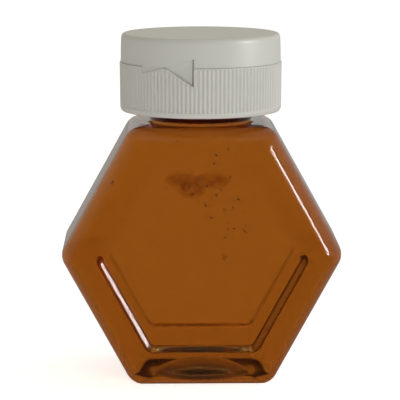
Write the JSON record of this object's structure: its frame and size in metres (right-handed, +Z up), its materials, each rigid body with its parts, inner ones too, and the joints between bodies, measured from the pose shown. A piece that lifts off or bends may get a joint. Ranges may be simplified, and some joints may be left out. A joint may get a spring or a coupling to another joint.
{
  "type": "honey jar",
  "caption": "Clear six-sided jar of amber honey that stands on one flat side, with a white ribbed screw cap and a flip-top lid on a butterfly hinge.",
  "frame": {"origin": "middle of the flat base, on the surface that the jar stands on", "axes": "+Z up through the cap, front panel towards -Y, +X to the right as seen from the front"},
  "size_m": [0.0844, 0.051, 0.1047],
  "materials": {
    "clear_plastic": "clear blow-moulded plastic, polished",
    "honey": "clear dark amber honey",
    "white_plastic": "satin moulded plastic"
  },
  "bodies": {
    "jar": {"jar_shell": "clear_plastic", "honey": "honey", "cap_base": "white_plastic", "hinge_wing_left": "white_plastic", "hinge_wing_right": "white_plastic"},
    "lid": {"cap_lid": "white_plastic"}
  },
  "joints": [
    {"name": "lid_hinge", "type": "hinge", "parent": "jar", "child": "lid", "pos_m": [-0.01136, -0.0221, 0.09595], "axis": [0.8894, -0.4571, 0], "range_deg": [0, 150]}
  ]
}
